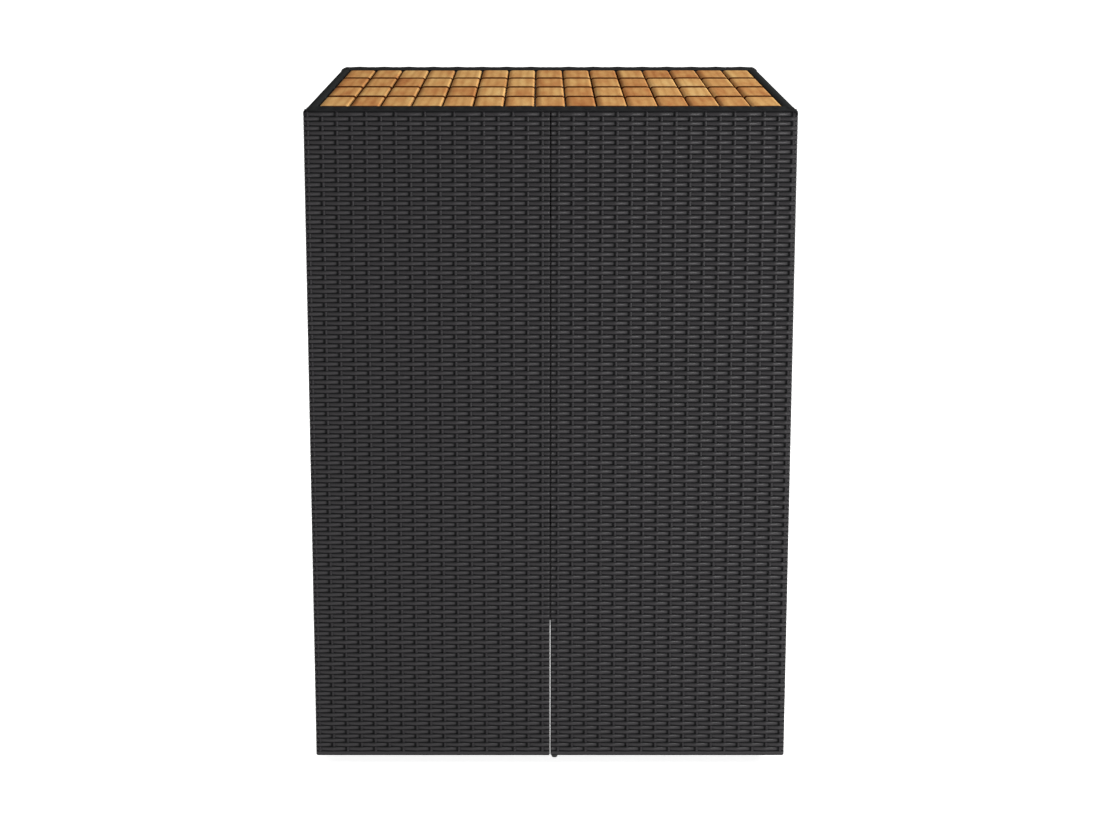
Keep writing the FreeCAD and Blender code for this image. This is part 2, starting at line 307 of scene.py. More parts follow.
@dataclass(frozen=True)
class StrandForm:
    """How strands rise over stakes, each rise a slope and a lift, and how they stray from an even run."""

    gentle: Span = (0.8235, 0.1765)
    steep: Span = (2.0, 1.0)
    spots_along: float = 14.0
    spots_across: float = 0.83
    swing_span: Span = (0.86, 1.06)
    drift_offset: Triple = (5.3, 7.1, 2.9)
    drift_scale: float = 1.6
    crease: float = math.radians(25)

    def group(self) -> Tree:
        """Builds the tree that lays flat strands side by side along a guide line.

        Returns:
            A geometry group that repeats the guide, swings it in and out by turns, keeps the first of such
            strands straight as a hem, and gives it a rounded section.
        """
        sizes = ["Swing", "Alternate", "Wander", "Width", "Thickness", "Seed"]
        named = sockets(Geometry=["Guide"], Int=["Count", "Sides"], Vector=["Step"], Float=sizes)
        graph, given, leave = new_group("Strand run", named)
        line = graph.shape("MeshLine", {"Count": given["Count"], "Offset": given["Step"]}, mode="OFFSET")
        copies = graph.shape("InstanceOnPoints", {"Points": line, "Instance": given["Guide"]})
        copies = graph.store(copies, "INSTANCE", Strip.RUN, graph.shape("InputIndex", {}))
        lines = graph.shape("RealizeInstances", {"Geometry": copies})

        run = graph.attribute(Strip.RUN)
        outward = graph.attribute(Strip.OUTWARD, "FLOAT_VECTOR")
        turn = graph.minus(1.0, graph.times(graph.math("MODULO", run, 2.0), given["Alternate"], 2.0))
        hem = graph.times(graph.math("LESS_THAN", run, 0.5), given["Alternate"])
        wave = graph.times(graph.attribute(Strip.WAVE), graph.times(turn, graph.minus(1.0, hem)))
        rises = (self.gentle, self.steep)
        gentle, steep = (graph.plus(graph.times(wave, slope), lift) for slope, lift in rises)
        lines = graph.store(lines, "POINT", Strip.LEVEL, graph.math("MINIMUM", gentle, steep))
        along = graph.times(graph.attribute(Strip.ALONG), self.spots_along)
        spot = graph.combine(along, graph.times(run, self.spots_across), given["Seed"])
        uneven = graph.spread(graph.noise(spot, 1.0), NOISE_SPAN, self.swing_span)
        swing = graph.times(graph.attribute(Strip.LEVEL), given["Swing"], uneven)
        drift = graph.noise(graph.vector("ADD", spot, self.drift_offset), self.drift_scale)
        drift = graph.times(graph.minus(drift, 0.5), given["Wander"])
        sideways = graph.vector("NORMALIZE", given["Step"])
        shift = graph.vector("ADD", graph.scaled(outward, swing), graph.scaled(sideways, drift))
        lines = graph.shape("SetPosition", {"Geometry": lines, "Offset": shift})
        rails = graph.shape("MeshToCurve", {"Mesh": lines})
        rails = graph.shape("SetCurveNormal", {"Curve": rails, "Normal": outward}, mode="FREE")

        inputs = {"Resolution": given["Sides"], "Radius": 1.0}
        section = graph.shape("CurvePrimitiveCircle", inputs, mode="RADIUS")
        place = graph.node("ShaderNodeSeparateXYZ", {0: graph.shape("InputPosition", {})})
        section = graph.store(section, "POINT", Strip.ACROSS, place.outputs[1])
        depth = graph.math("DIVIDE", given["Thickness"], 1 + math.cos(math.pi / FLAT_SIDES))
        width = graph.math("DIVIDE", given["Width"], 2 * math.sin(2 * math.pi / FLAT_SIDES))
        scale = graph.combine(depth, width, 1.0)
        half_turn = (0.0, 0.0, math.pi)
        section = graph.shape("Transform", {"Geometry": section, "Scale": scale, "Rotation": half_turn})
        strand = graph.shape("CurveToMesh", {"Curve": rails, "Profile Curve": section, "Fill Caps": True})
        strand = graph.shape("SetShadeSmooth", {"Geometry": strand})
        creased = graph.above(graph.shape("InputMeshEdgeAngle", {}), self.crease)
        inputs = {"Geometry": strand, "Selection": creased, "Shade Smooth": False}
        graph.link(graph.shape("SetShadeSmooth", inputs, domain="EDGE"), leave.inputs[0])
        return graph.tree


def sleeve_tree(strand: Tree) -> Tree:
    """Builds the tree that weaves a whole sleeve from rows, stakes and capping strands.

    Args:
        strand: The group that lays strands along a guide.

    Returns:
        A modifier tree with named inputs for its guides, counts and sizes.
    """
    matte_brim, matte_dip = 0.66, -0.45
    named = sockets(Geometry=["Lining"])
    named |= {f"{part} {label}": kind for part in PARTS for label, kind in PART_SOCKETS.items()}
    named |= sockets(Float=["Wander", "Seed"], Material=["Finish", "Matte finish"])
    graph, given, leave = new_group("Woven sleeve", named)
    join = graph.node("GeometryNodeJoinGeometry", {})
    # The sheets behind the strands are painted shade: rim-marked for the shineless copy and sunk for full
    # painted shade.
    shade_sheets = graph.store(given["Lining"], "FACE", Strip.RIM, 1.0)
    graph.link(graph.store(shade_sheets, "POINT", Strip.LEVEL, -1.0), join.inputs[0])
    for part in PARTS:
        laid = {label.capitalize(): given[f"{part} {label}"] for label in PART_SOCKETS}
        laid |= {"Guide": graph.shape_of(laid["Guide"]), "Wander": given["Wander"], "Seed": given["Seed"]}
        strands = graph.group(strand, laid)[0]
        graph.link(graph.store(strands, "FACE", Strip.RIM, 1.0 if part == "Cap" else 0.0), join.inputs[0])
    whole = graph.shape("RealizeInstances", {"Geometry": join.outputs[0]})
    dressed = graph.shape("SetMaterial", {"Geometry": whole, "Material": given["Finish"]})
    # The shineless copy goes where painted shade falls, on the strands' brims and on deep dips, and on the
    # capping strands and shade sheets, which carry the rim mark.
    brim = graph.math("GREATER_THAN", graph.math("ABSOLUTE", graph.attribute(Strip.ACROSS)), matte_brim)
    dip = graph.math("LESS_THAN", graph.attribute(Strip.LEVEL), matte_dip)
    matte = graph.above(graph.most(graph.attribute(Strip.RIM), graph.most(brim, dip)), 0.5)
    inputs = {"Geometry": dressed, "Selection": matte, "Material": given["Matte finish"]}
    graph.link(graph.shape("SetMaterial", inputs), leave.inputs[0])
    return graph.tree


def slat_tree() -> Tree:
    """Builds the tree that lays one row of slats, each with its own tone and grain.

    Returns:
        A modifier tree that repeats a pattern slat along X.
    """
    named = sockets(
        Geometry=["Geometry"],
        Object=["Pattern"],
        Int=["Count", "Seed"],
        Vector=["First", "Step"],
        Float=["Settle"],
        Material=["Finish"],
    )
    graph, given, leave = new_group("Slat row", named)

    def chance(low: float, high: float, offset: int) -> Socket:
        """A number drawn once for each slat."""
        seed = graph.plus(given["Seed"], float(offset))
        return graph.node("FunctionNodeRandomValue", {2: low, 3: high, "Seed": seed}).outputs[1]

    farthest_place = 40.0
    inputs = {"Count": given["Count"], "Start Location": given["First"], "Offset": given["Step"]}
    line = graph.shape("MeshLine", inputs, mode="OFFSET")
    drop = graph.combine(0.0, 0.0, graph.times(chance(-1.0, 0.0, 3), given["Settle"]))
    line = graph.shape("SetPosition", {"Geometry": line, "Offset": drop})
    slats = graph.shape("InstanceOnPoints", {"Points": line, "Instance": graph.shape_of(given["Pattern"])})
    slats = graph.store(slats, "INSTANCE", Plank.TONE, chance(0.0, 1.0, 0))
    slats = graph.store(slats, "INSTANCE", Plank.PLACE, chance(0.0, farthest_place, 1))
    slats = graph.shape("RealizeInstances", {"Geometry": slats})
    graph.link(graph.shape("SetMaterial", {"Geometry": slats, "Material": given["Finish"]}), leave.inputs[0])
    return graph.tree


def screw_tree() -> Tree:
    """Builds the tree that puts a pattern screw on every point of a layout, turned by chance.

    Returns:
        A modifier tree whose own geometry is the layout.
    """
    named = sockets(Geometry=["Layout"], Object=["Pattern"], Int=["Seed"], Material=["Finish"])
    graph, given, leave = new_group("Screws", named)
    turn = graph.node("FunctionNodeRandomValue", {2: 0.0, 3: math.tau, "Seed": given["Seed"]}).outputs[1]
    inputs = {"Points": given["Layout"], "Instance": graph.shape_of(given["Pattern"])}
    screws = graph.shape("InstanceOnPoints", inputs | {"Rotation": graph.combine(0.0, 0.0, turn)})
    screws = graph.shape("RealizeInstances", {"Geometry": screws})
    graph.link(graph.shape("SetMaterial", {"Geometry": screws, "Material": given["Finish"]}), leave.inputs[0])
    return graph.tree


# Meshes and objects


def linked(name: str, data: bpy.types.ID) -> Piece:
    """Puts a mesh, lamp or camera into the scene at the origin.

    Args:
        name: The new object's name.
        data: What it shows.

    Returns:
        The new object.
    """
    made = bpy.data.objects.new(name, data)
    bpy.context.scene.collection.objects.link(made)
    return made


def grown(name: str, base: Mesh, tree: Tree, inputs: Mapping[str, Value]) -> Piece:
    """Runs a shape tree once and keeps its result as a plain mesh.

    Args:
        name: The finished piece's name.
        base: The mesh that the tree starts from.
        tree: The modifier tree.
        inputs: Values for its inputs, by name.

    Returns:
        An object that holds the finished mesh and no modifier.
    """
    piece = linked(name, base)
    modifier = piece.modifiers.new("Shape", "NODES")
    modifier.node_group = tree
    named = {item.name: item.identifier for item in tree.interface.items_tree if item.in_out == "INPUT"}
    for label, value in inputs.items():
        modifier[named[label]] = value
    graph = bpy.context.evaluated_depsgraph_get()
    mesh = bpy.data.meshes.new_from_object(
        piece.evaluated_get(graph), preserve_all_data_layers=True, depsgraph=graph
    )
    piece.modifiers.remove(modifier)
    piece.data = mesh
    mesh.name = name
    return piece


def removed(*objects: Piece) -> None:
    """Takes helper objects out of the scene."""
    for item in objects:
        bpy.data.objects.remove(item)


def closed_outwards(mesh: Mesh) -> None:
    """Turns every face of a closed mesh outwards.

    Args:
        mesh: The mesh to change.
    """
    form = bmesh.new()
    form.from_mesh(mesh)
    bmesh.ops.recalc_face_normals(form, faces=form.faces)
    form.to_mesh(mesh)
    form.free()


def meshed(form: Form, name: str) -> Mesh:
    """Turns a worked form into a mesh.

    Args:
        form: The form, which is freed.
        name: The mesh's name.

    Returns:
        The new mesh.
    """
    mesh = bpy.data.meshes.new(name)
    form.to_mesh(mesh)
    form.free()
    return mesh


def keep_layer(mesh: Mesh, name: Enum, values: Sequence[float], kind: str = "FLOAT") -> None:
    """Keeps numbers, or vectors written as numbers in a row, on a mesh's points."""
    key = "vector" if kind == "FLOAT_VECTOR" else "value"
    mesh.attributes.new(name.value, kind, "POINT").data.foreach_set(key, values)


def ring(form: Form, radii: Sequence[float], heart: Vector) -> list[bmesh.types.BMVert]:
    """Adds points round an upright axis.

    Args:
        form: The form to add to.
        radii: The points' distances from the axis.
        heart: The middle of the ring.

    Returns:
        The new points.
    """
    turns = [math.tau * index / len(radii) for index in range(len(radii))]
    arms = [(radius * math.cos(turn), radius * math.sin(turn), 0.0) for radius, turn in zip(radii, turns)]
    return [form.verts.new(heart + Vector(arm)) for arm in arms]


def skin(form: Form, rings: Sequence[Sequence[bmesh.types.BMVert]], smooth: bool) -> None:
    """Closes the surface between rings of as many points each.

    Args:
        form: The form to add to.
        rings: The rings, in order.
        smooth: Whether the new faces are shaded smooth.
    """
    for lower, upper in pairwise(rings):
        for index in range(len(lower)):
            following = (index + 1) % len(lower)
            face = form.faces.new((lower[index], lower[following], upper[following], upper[index]))
            face.smooth = smooth


# Shader groups


def mottle_group() -> Tree:
    """Builds the group that breaks an even finish into soft patches.

    Returns:
        A shader group whose Patch and Fine outputs run from 0 to 1.
    """
    named = sockets(Vector=["Vector"], Float=["Scale"])
    graph, given, leave = new_group("Mottle", named, SHADER_TREE, sockets(Float=["Patch", "Fine"]))
    finer = 9.0
    broad = graph.noise(given["Vector"], given["Scale"], detail=3.0)
    fine = graph.noise(given["Vector"], graph.times(given["Scale"], finer))
    for label, noise in (("Patch", broad), ("Fine", fine)):
        graph.link(graph.spread(noise, NOISE_SPAN), leave.inputs[label])
    return graph.tree


def grain_group() -> Tree:
    """Builds the group that draws long wood grain along Y.

    Returns:
        A shader group with Bands, Fibres and Pores, each from 0 to 1.
    """
    bend_scale, bend_turns = 26.0, 7.0
    fibre_scale, pore_scale = 900.0, 1500.0
    pore_stretch, pore_span = (1.0, 3.0, 1.0), (0.62, 0.74)
    named = sockets(Vector=["Vector"], Float=["Shift", "Stretch", "Ring width"])
    outputs = sockets(Float=["Bands", "Fibres", "Pores"])
    graph, given, leave = new_group("Wood grain", named, SHADER_TREE, outputs)
    moved = graph.vector("ADD", given["Vector"], graph.combine(given["Shift"], given["Shift"], 0.0))
    slim = graph.combine(1.0, graph.math("DIVIDE", 1.0, given["Stretch"]), 1.0)
    drawn = graph.vector("MULTIPLY", moved, slim)
    across = graph.node("ShaderNodeSeparateXYZ", {0: drawn}).outputs[0]
    bend = graph.times(graph.noise(drawn, bend_scale), bend_turns)
    rings = graph.plus(graph.math("DIVIDE", across, given["Ring width"]), bend)
    bands = graph.plus(graph.times(graph.math("SINE", rings), 0.5), 0.5)
    fibres = graph.spread(graph.noise(drawn, fibre_scale, detail=3.0), NOISE_SPAN)
    pores = graph.noise(graph.vector("MULTIPLY", drawn, pore_stretch), pore_scale, detail=1.0)
    results = {"Bands": bands, "Fibres": fibres, "Pores": graph.spread(pores, pore_span)}
    for label, result in results.items():
        graph.link(result, leave.inputs[label])
    return graph.tree


@dataclass(frozen=True)
class Effects:
    """The shader groups that several finishes share."""

    mottle: Tree
    grain: Tree


# Finishes


def new_material(name: str) -> tuple[Material, Graph, Node]:
    """Starts a material with one Principled shader.

    Args:
        name: The material's name.

    Returns:
        The material, its graph and its shader node.
    """
    material = bpy.data.materials.new(name)
    material.use_nodes = True
    return material, Graph(material.node_tree), material.node_tree.nodes["Principled BSDF"]


def object_place(graph: Graph) -> Socket:
    """Object coordinates."""
    return graph.node("ShaderNodeTexCoord", {}).outputs["Object"]


def coated(graph: Graph, shader: Node, colour: Socket, gloss: Socket, height: Socket, relief: Span) -> None:
    """Gives a shader its colour, its roughness and a raised pattern.

    Args:
        graph: The material's graph.
        shader: The shader node.
        colour: The surface's colour.
        gloss: Its roughness.
        height: The raised pattern, from 0 to 1.
        relief: How deep the pattern is, in metres, and how much of it shows.
    """
    inputs = {"Height": height, "Distance": relief[0], "Strength": relief[1]}
    bump = graph.node("ShaderNodeBump", inputs).outputs[0]
    for label, value in (("Base Color", colour), ("Roughness", gloss), ("Normal", bump)):
        graph.link(value, shader.inputs[label])


@dataclass(frozen=True)
class WickerFinish:
    """Drawn polyethylene strand: near black, with fine lines along it and a soft shine, and painted shade on
    strands and stakes that dip behind others and on the brims in the grooves between rows.
    """

    name: str = "wicker_strand"
    dark: Colour = paint(25, 23, 25)
    pale: Colour = paint(38, 35, 38)
    gloss: Span = (0.26, 0.36)
    sheen_level: float = 0.28
    # Painted shade: its colour, the roughness it takes, and how much of it is laid on.
    shade_colour: Colour = paint(34, 33, 35)
    shade_rough: float = 1.0
    shade_share: float = 0.85
    flow: Triple = (3.0, 4.0, 1.7)
    line_scale: float = 3.2
    line_share: float = 0.45
    line_height: float = 0.1
    patch_scale: float = 2.1
    patch_share: float = 0.55
    # Where painted shade falls: strands and stakes that dip behind others, and the upper and lower brims that
    # edge the grooves between rows.
    sunk_span: Span = (-0.9, 0.1)
    upper_span: Span = (0.5, 0.7)
    upper_share: float = 0.8
    lower_span: Span = (-0.6, -0.3)
    crown_fall: float = 2.8
    relief: Span = (0.38 * MM, 1.0)

    def material(self, effects: Effects) -> Material:
        """Builds the strands' material.

        Args:
            effects: The shared shader groups.

        Returns:
            The finished material.
        """
        material, graph, shader = new_material(self.name)
        ways = [graph.painted(name) for name in (Strip.ALONG, Strip.ACROSS, Strip.RUN)]
        across = ways[1]
        flow = graph.combine(*(graph.times(way, scale) for way, scale in zip(ways, self.flow)))
        lines = graph.noise(flow, self.line_scale, detail=4.0)
        patches = graph.group(effects.mottle, {"Vector": flow, "Scale": self.patch_scale})
        tone = graph.times(patches["Patch"], self.patch_share)
        tone = graph.plus(tone, graph.times(lines, self.line_share))
        # Painted shade on dipped strands and stakes and on the brims in the grooves between rows, also made
        # rough there.
        sunk = graph.spread(graph.painted(Strip.LEVEL), self.sunk_span, (1.0, 0.0))
        upper = graph.spread(across, self.upper_span, (0.0, self.upper_share))
        lower = graph.spread(across, self.lower_span, (1.0, 0.0))
        strand_shade = graph.most(sunk, graph.most(upper, lower))
        colour = graph.mix(tone, self.dark, self.pale)
        colour = graph.mix(graph.times(strand_shade, self.shade_share), colour, self.shade_colour)
        gloss = graph.spread(patches["Fine"], FULL, self.gloss)
        gloss = graph.spread(strand_shade, FULL, (gloss, self.shade_rough))
        crown = graph.minus(1.0, graph.times(across, across, self.crown_fall))
        height = graph.plus(crown, graph.times(lines, self.line_height))
        shader.inputs["Specular IOR Level"].default_value = self.sheen_level
        coated(graph, shader, colour, gloss, height, self.relief)
        return material


# A shineless copy of the strand finish in lighter tones: it goes on the capping strands and the shade sheets,
# and on the brims and deep dips, where painted shade falls.
WICKER_MATTE = WickerFinish(
    "wicker_matte", paint(41, 43, 42), paint(51, 53, 52), (0.7, 0.85), sheen_level=0.0
)


@dataclass(frozen=True)
class AcaciaFinish:
    """Oiled acacia: golden to red brown, each slat its own tone, with bands and fine pores; its ends darken
    with end grain and painted shade, and painted shade lies low in the side joints and along each slat's left
    edge.
    """

    tones: tuple[Colour, ...] = (
        paint(226, 187, 125),
        paint(218, 173, 110),
        paint(207, 156, 97),
        paint(193, 135, 82),
        paint(173, 112, 67),
    )
    tone_share: float = 0.5
    patch_stretch: Triple = (2.0, 0.3, 1.0)
    patch_scale: float = 26.0
    band: Colour = paint(150, 92, 46)
    band_power: float = 2.0
    band_share: float = 0.26
    fibre_share: float = 0.14
    pore: Colour = paint(104, 60, 30)
    pore_share: float = 0.3
    # Dark brown for the edges: end grain at the ends, and painted shade in the joints and along each slat's
    # left edge.
    edge: Colour = paint(70, 35, 15)
    shade_draw: float = 7.3
    shade_range: Span = (0.35, 1.5)
    end_span: Span = (0.6, 1.0)
    ring: float = 2.4 * MM
    oil_level: float = 0.0
    gloss: Span = (0.5, 0.66)
    relief: Span = (0.15 * MM, 0.6)

    def material(self, effects: Effects) -> Material:
        """Builds the slats' material.

        Args:
            effects: The shared shader groups.

        Returns:
            The finished material.
        """
        material, graph, shader = new_material("oiled_acacia")
        place = object_place(graph)
        tone, shift, edge_shade = (graph.painted(name) for name in (Plank.TONE, Plank.PLACE, Plank.EDGE_SHADE))
        inputs = {"Vector": place, "Shift": shift, "Stretch": GRAIN_STRETCH, "Ring width": self.ring}
        grain = graph.group(effects.grain, inputs)
        moved = graph.vector("ADD", place, graph.combine(shift, shift, shift))
        moved = graph.vector("MULTIPLY", moved, self.patch_stretch)
        patches = graph.group(effects.mottle, {"Vector": moved, "Scale": self.patch_scale})
        patch = graph.times(patches["Patch"], 1 - self.tone_share)
        colour = graph.ramp(graph.plus(graph.times(tone, self.tone_share), patch), self.tones)
        bands = graph.times(graph.math("POWER", grain["Bands"], self.band_power), self.band_share)
        colour = graph.mix(bands, colour, self.band)
        colour = graph.mix(graph.times(grain["Fibres"], self.fibre_share), colour, self.band)
        colour = graph.mix(graph.times(grain["Pores"], self.pore_share), colour, self.pore)
        # Painted shade on the edges, stronger or weaker for each slat; the ends, partly end grain and partly
        # the joint's shade, go fully dark.
        chance = graph.math("FRACT", graph.times(shift, self.shade_draw))
        drawn_shade = graph.times(edge_shade, graph.spread(chance, FULL, self.shade_range))
        colour = graph.mix(graph.most(drawn_shade, graph.spread(edge_shade, self.end_span)), colour, self.edge)
        gloss = graph.spread(grain["Fibres"], FULL, self.gloss)
        shader.inputs["Specular IOR Level"].default_value = self.oil_level
        coated(graph, shader, colour, gloss, grain["Fibres"], self.relief)
        return material


@dataclass(frozen=True)
class BattenFinish:
    """Sawn batten wood: a plainer, duller cut of the slats' timber."""

    pale: Colour = paint(176, 130, 82)
    dark: Colour = paint(128, 84, 46)
    shift: float = 0.7
    ring: float = 3.0 * MM
    patch_scale: float = 14.0
    tone_share: float = 0.5
    pore_share: float = 0.5
    gloss: Span = (0.6, 0.8)
    relief: Span = (0.3 * MM, 0.8)

    def material(self, effects: Effects) -> Material:
        """Builds the battens' material, with its grain turned along X.

        Args:
            effects: The shared shader groups.

        Returns:
            The finished material.
        """
        material, graph, shader = new_material("sawn_batten")
        inputs = {"Vector": object_place(graph), "Rotation": (0.0, 0.0, math.pi / 2)}
        turned = graph.node("ShaderNodeMapping", inputs).outputs[0]
        inputs = {"Vector": turned, "Shift": self.shift, "Stretch": GRAIN_STRETCH, "Ring width": self.ring}
        grain = graph.group(effects.grain, inputs)
        patches = graph.group(effects.mottle, {"Vector": turned, "Scale": self.patch_scale})
        tone = graph.times(graph.plus(grain["Bands"], patches["Patch"]), self.tone_share)
        colour = graph.mix(tone, self.pale, self.dark)
        colour = graph.mix(graph.times(grain["Pores"], self.pore_share), colour, self.dark)
        gloss = graph.spread(grain["Fibres"], FULL, self.gloss)
        coated(graph, shader, colour, gloss, grain["Fibres"], self.relief)
        return material


@dataclass(frozen=True)
class CoatFinish:
    """A skin over metal or moulded plastic: two near tones, a gloss range and a fine pebble."""

    name: str
    tone: Colour
    other: Colour
    gloss: Span
    metallic: float
    patch_scale: float
    relief: Span

    def material(self, effects: Effects) -> Material:
        """Builds the material.

        Args:
            effects: The shared shader groups.

        Returns:
            The finished material.
        """
        material, graph, shader = new_material(self.name)
        patches = graph.group(effects.mottle, {"Vector": object_place(graph), "Scale": self.patch_scale})
        colour = graph.mix(patches["Patch"], self.tone, self.other)
        gloss = graph.spread(patches["Fine"], FULL, self.gloss)
        shader.inputs["Metallic"].default_value = self.metallic
        coated(graph, shader, colour, gloss, patches["Fine"], self.relief)
        return material


POWDER_COAT = CoatFinish(
    "powder_coat", paint(22, 22, 24), paint(30, 30, 32), (0.42, 0.58), 0.0, 90.0, (0.05 * MM, 0.5)
)
ZINC = CoatFinish(
    "zinc_plate", paint(176, 177, 180), paint(150, 151, 156), (0.24, 0.42), 1.0, 160.0, (0.02 * MM, 0.5)
)
FOOT_PLASTIC = CoatFinish(
    "foot_plastic", paint(14, 14, 15), paint(22, 22, 23), (0.5, 0.66), 0.0, 220.0, (0.04 * MM, 0.5)
)


@dataclass(frozen=True)
class Palette:
    """Every finished material of the table."""

    wicker: Material
    matte: Material
    acacia: Material
    batten: Material
    steel: Material
    zinc: Material
    plastic: Material

    @classmethod
    def mixed(cls) -> "Palette":
        """Builds the shared effects and all materials.

        Returns:
            The table's materials.
        """
        effects = Effects(mottle_group(), grain_group())
        timbers = (AcaciaFinish(), BattenFinish())
        finishes = (WickerFinish(), WICKER_MATTE, *timbers, POWDER_COAT, ZINC, FOOT_PLASTIC)
        return cls(*(finish.material(effects) for finish in finishes))


# Woven sleeves


@dataclass
class Guide:
    """A line that strands follow: its points, which way is out, and where it swings."""

    points: list[Vector] = field(default_factory=list)
    outward: list[Vector] = field(default_factory=list)
    wave: list[float] = field(default_factory=list)

    def add(self, point: Vector, outward: Vector, wave: float = 0.0) -> None:
        """Adds one point to the line.

        Args:
            point: The new point.
            outward: Which way is out there.
            wave: Whether the line passes outside (1) or inside (-1) there, or between.
        """
        self.points.append(point)
        self.outward.append(outward.normalized())
        self.wave.append(wave)

    def to_object(self, name: str, closed: bool = False) -> Piece:
        """Turns the line into a helper object.

        Args:
            name: The helper's name.
            closed: Whether the line's end joins its start.

        Returns:
            An object of edges with the strand attributes on its points.
        """
        edges = list(pairwise(range(len(self.points))))
        if closed:
            edges.append((len(self.points) - 1, 0))
        mesh = bpy.data.meshes.new(name)
        mesh.from_pydata(self.points, edges, [])
        steps = [(there - here).length for here, there in pairwise(self.points)]
        keep_layer(mesh, Strip.WAVE, self.wave)
        keep_layer(mesh, Strip.ALONG, list(accumulate(steps, initial=0.0)))
        keep_layer(mesh, Strip.OUTWARD, [number for way in self.outward for number in way], "FLOAT_VECTOR")
        return linked(name, mesh)


def by_turns(places: Sequence[float], first: float = 1.0) -> list[Span]:
    """Places paired with waves that pass outside (1) and inside (-1) by turns."""
    return [(place, first * (-1.0) ** index) for index, place in enumerate(places)]


def eased(knots: Sequence[Span], shares: Sequence[float]) -> Iterator[Span]:
    """Places and waves along a stretch, with points between its knots.

    Args:
        knots: The stretch's own places and waves.
        shares: Where further points lie between two knots, from 0 to 1.

    Yields:
        Each place with its wave.
    """
    for (here, wave), (there, following) in pairwise(knots):
        yield here, wave
        for share in shares:
            yield here + (there - here) * share, wave + (following - wave) * share
    yield knots[-1]


@dataclass
class WeaveSizes:
    """The strand sizes that every woven sleeve shares, in metres."""

    row_pitch: float = 7.64 * MM
    stake_pitch: float = 23.65 * MM
    strand_width: float = 8.1 * MM
    strand_thickness: float = 1.4 * MM
    stake_width: float = 5.2 * MM
    stake_thickness: float = 2.4 * MM
    stake_depth: float = 0.5 * MM
    stake_lean: float = 1.8 * MM
    swing: float = 1.6 * MM
    cap_width: float = 7.6 * MM
    cap_thickness: float = 2.8 * MM
    cap_swing: float = 0.8 * MM
    seam_reach: float = 0.7 * MM
    bare_top: float = 3.6 * MM
    # Sheets of painted shade behind the strands, standing for the dark inside of the wall.
    shade_sheet_depth: float = 4.0 * MM
    shade_sheet_thickness: float = 0.4 * MM
    shade_sheet_margin: float = 2.2 * MM
    wander: float = 0.4 * MM
    inset: float = 2.3 * MM
    seam_inset: float = 0.6 * MM
    cap_inset: float = 3.4 * MM
    corner: float = 3.5 * MM
    seam_corner: float = 1.4 * MM
    knees: Span = (0.15, 0.85)
    binding: float = 0.0


